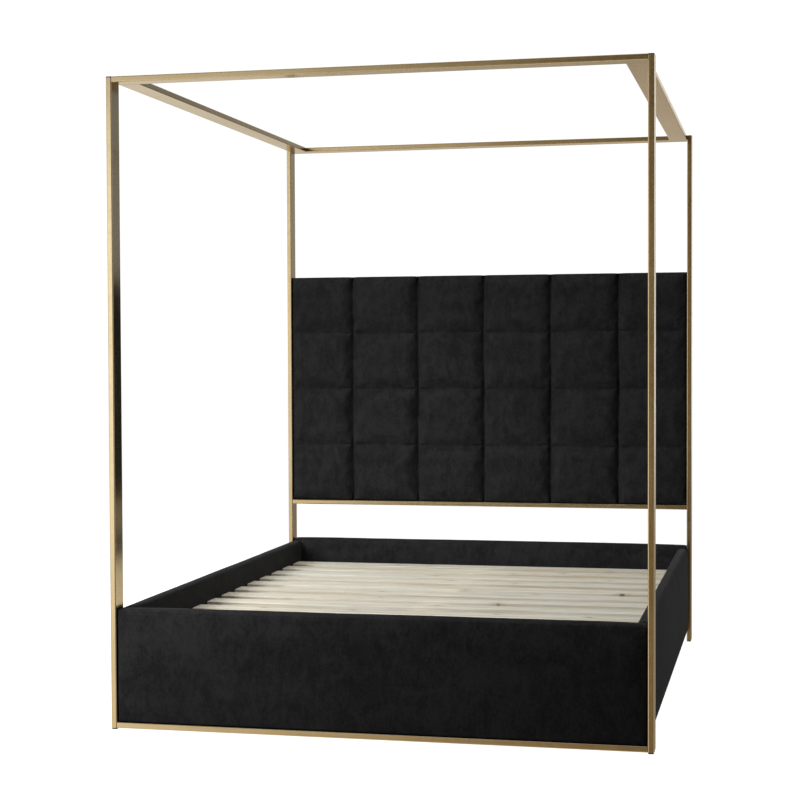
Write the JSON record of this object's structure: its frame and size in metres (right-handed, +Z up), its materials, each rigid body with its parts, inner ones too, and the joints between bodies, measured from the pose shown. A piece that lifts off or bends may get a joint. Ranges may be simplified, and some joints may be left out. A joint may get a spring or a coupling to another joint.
{
  "type": "four poster canopy bed",
  "caption": "Queen size four poster bed: slim flat brass-coloured tube frame with a square canopy, black velvet box and squared velvet headboard, slatted base.",
  "frame": {"origin": "centre of the footprint on the floor", "axes": "+X to the right seen from the foot of the bed, +Y from the foot to the head, +Z up"},
  "size_m": [1.65, 2.17, 2],
  "materials": {
    "satin_brass": "satin champagne-brass plated steel tube",
    "velvet": "black cotton velvet with a short mottled nap",
    "lining": "black non-woven dust cover",
    "slat_wood": "planed pine, unfinished, small knots",
    "frame_wood": "planed softwood, unfinished",
    "board_wood": "plywood",
    "black_plastic": "moulded black plastic",
    "bracket_steel": "black powder coat",
    "fastener_steel": "zinc-plated steel"
  },
  "bodies": {
    "root": {"beam_hangers": "bracket_steel", "board_screws": "fastener_steel", "bracket_screws": "fastener_steel", "canopy_rail_foot": "satin_brass", "canopy_rail_head": "satin_brass", "canopy_rail_left": "satin_brass", "canopy_rail_right": "satin_brass", "centre_beam": "frame_wood", "centre_leg_foot": "frame_wood", "centre_leg_glide_foot": "black_plastic", "centre_leg_glide_head": "black_plastic", "centre_leg_head": "frame_wood", "corner_brackets": "bracket_steel", "cross_rail_sleeves": "bracket_steel", "foot_bottom_rail": "satin_brass", "footboard_core": "board_wood", "footboard_upholstery": "velvet", "head_rail_core": "board_wood", "head_rail_upholstery": "velvet", "headboard_back_cover": "lining", "headboard_pad": "velvet", "headboard_panel": "board_wood", "headboard_rail": "satin_brass", "ledge_screws": "fastener_steel", "leg_bolts": "fastener_steel", "post_bolts": "fastener_steel", "post_cap_foot_left": "black_plastic", "post_cap_foot_right": "black_plastic", "post_cap_head_left": "black_plastic", "post_cap_head_right": "black_plastic", "post_foot_left": "satin_brass", "post_foot_right": "satin_brass", "post_glide_foot_left": "black_plastic", "post_glide_foot_right": "black_plastic", "post_glide_head_left": "black_plastic", "post_glide_head_right": "black_plastic", "post_head_left": "satin_brass", "post_head_right": "satin_brass", "side_rail_core_left": "board_wood", "side_rail_core_right": "board_wood", "side_rail_sleeves": "bracket_steel", "side_rail_upholstery_left": "velvet", "side_rail_upholstery_right": "velvet", "slat_01": "slat_wood", "slat_02": "slat_wood", "slat_03": "slat_wood", "slat_04": "slat_wood", "slat_05": "slat_wood", "slat_06": "slat_wood", "slat_07": "slat_wood", "slat_08": "slat_wood", "slat_09": "slat_wood", "slat_10": "slat_wood", "slat_11": "slat_wood", "slat_12": "slat_wood", "slat_ledge_left": "frame_wood", "slat_ledge_right": "frame_wood", "slat_screws": "fastener_steel", "sleeve_screws": "fastener_steel"}
  },
  "joints": []
}
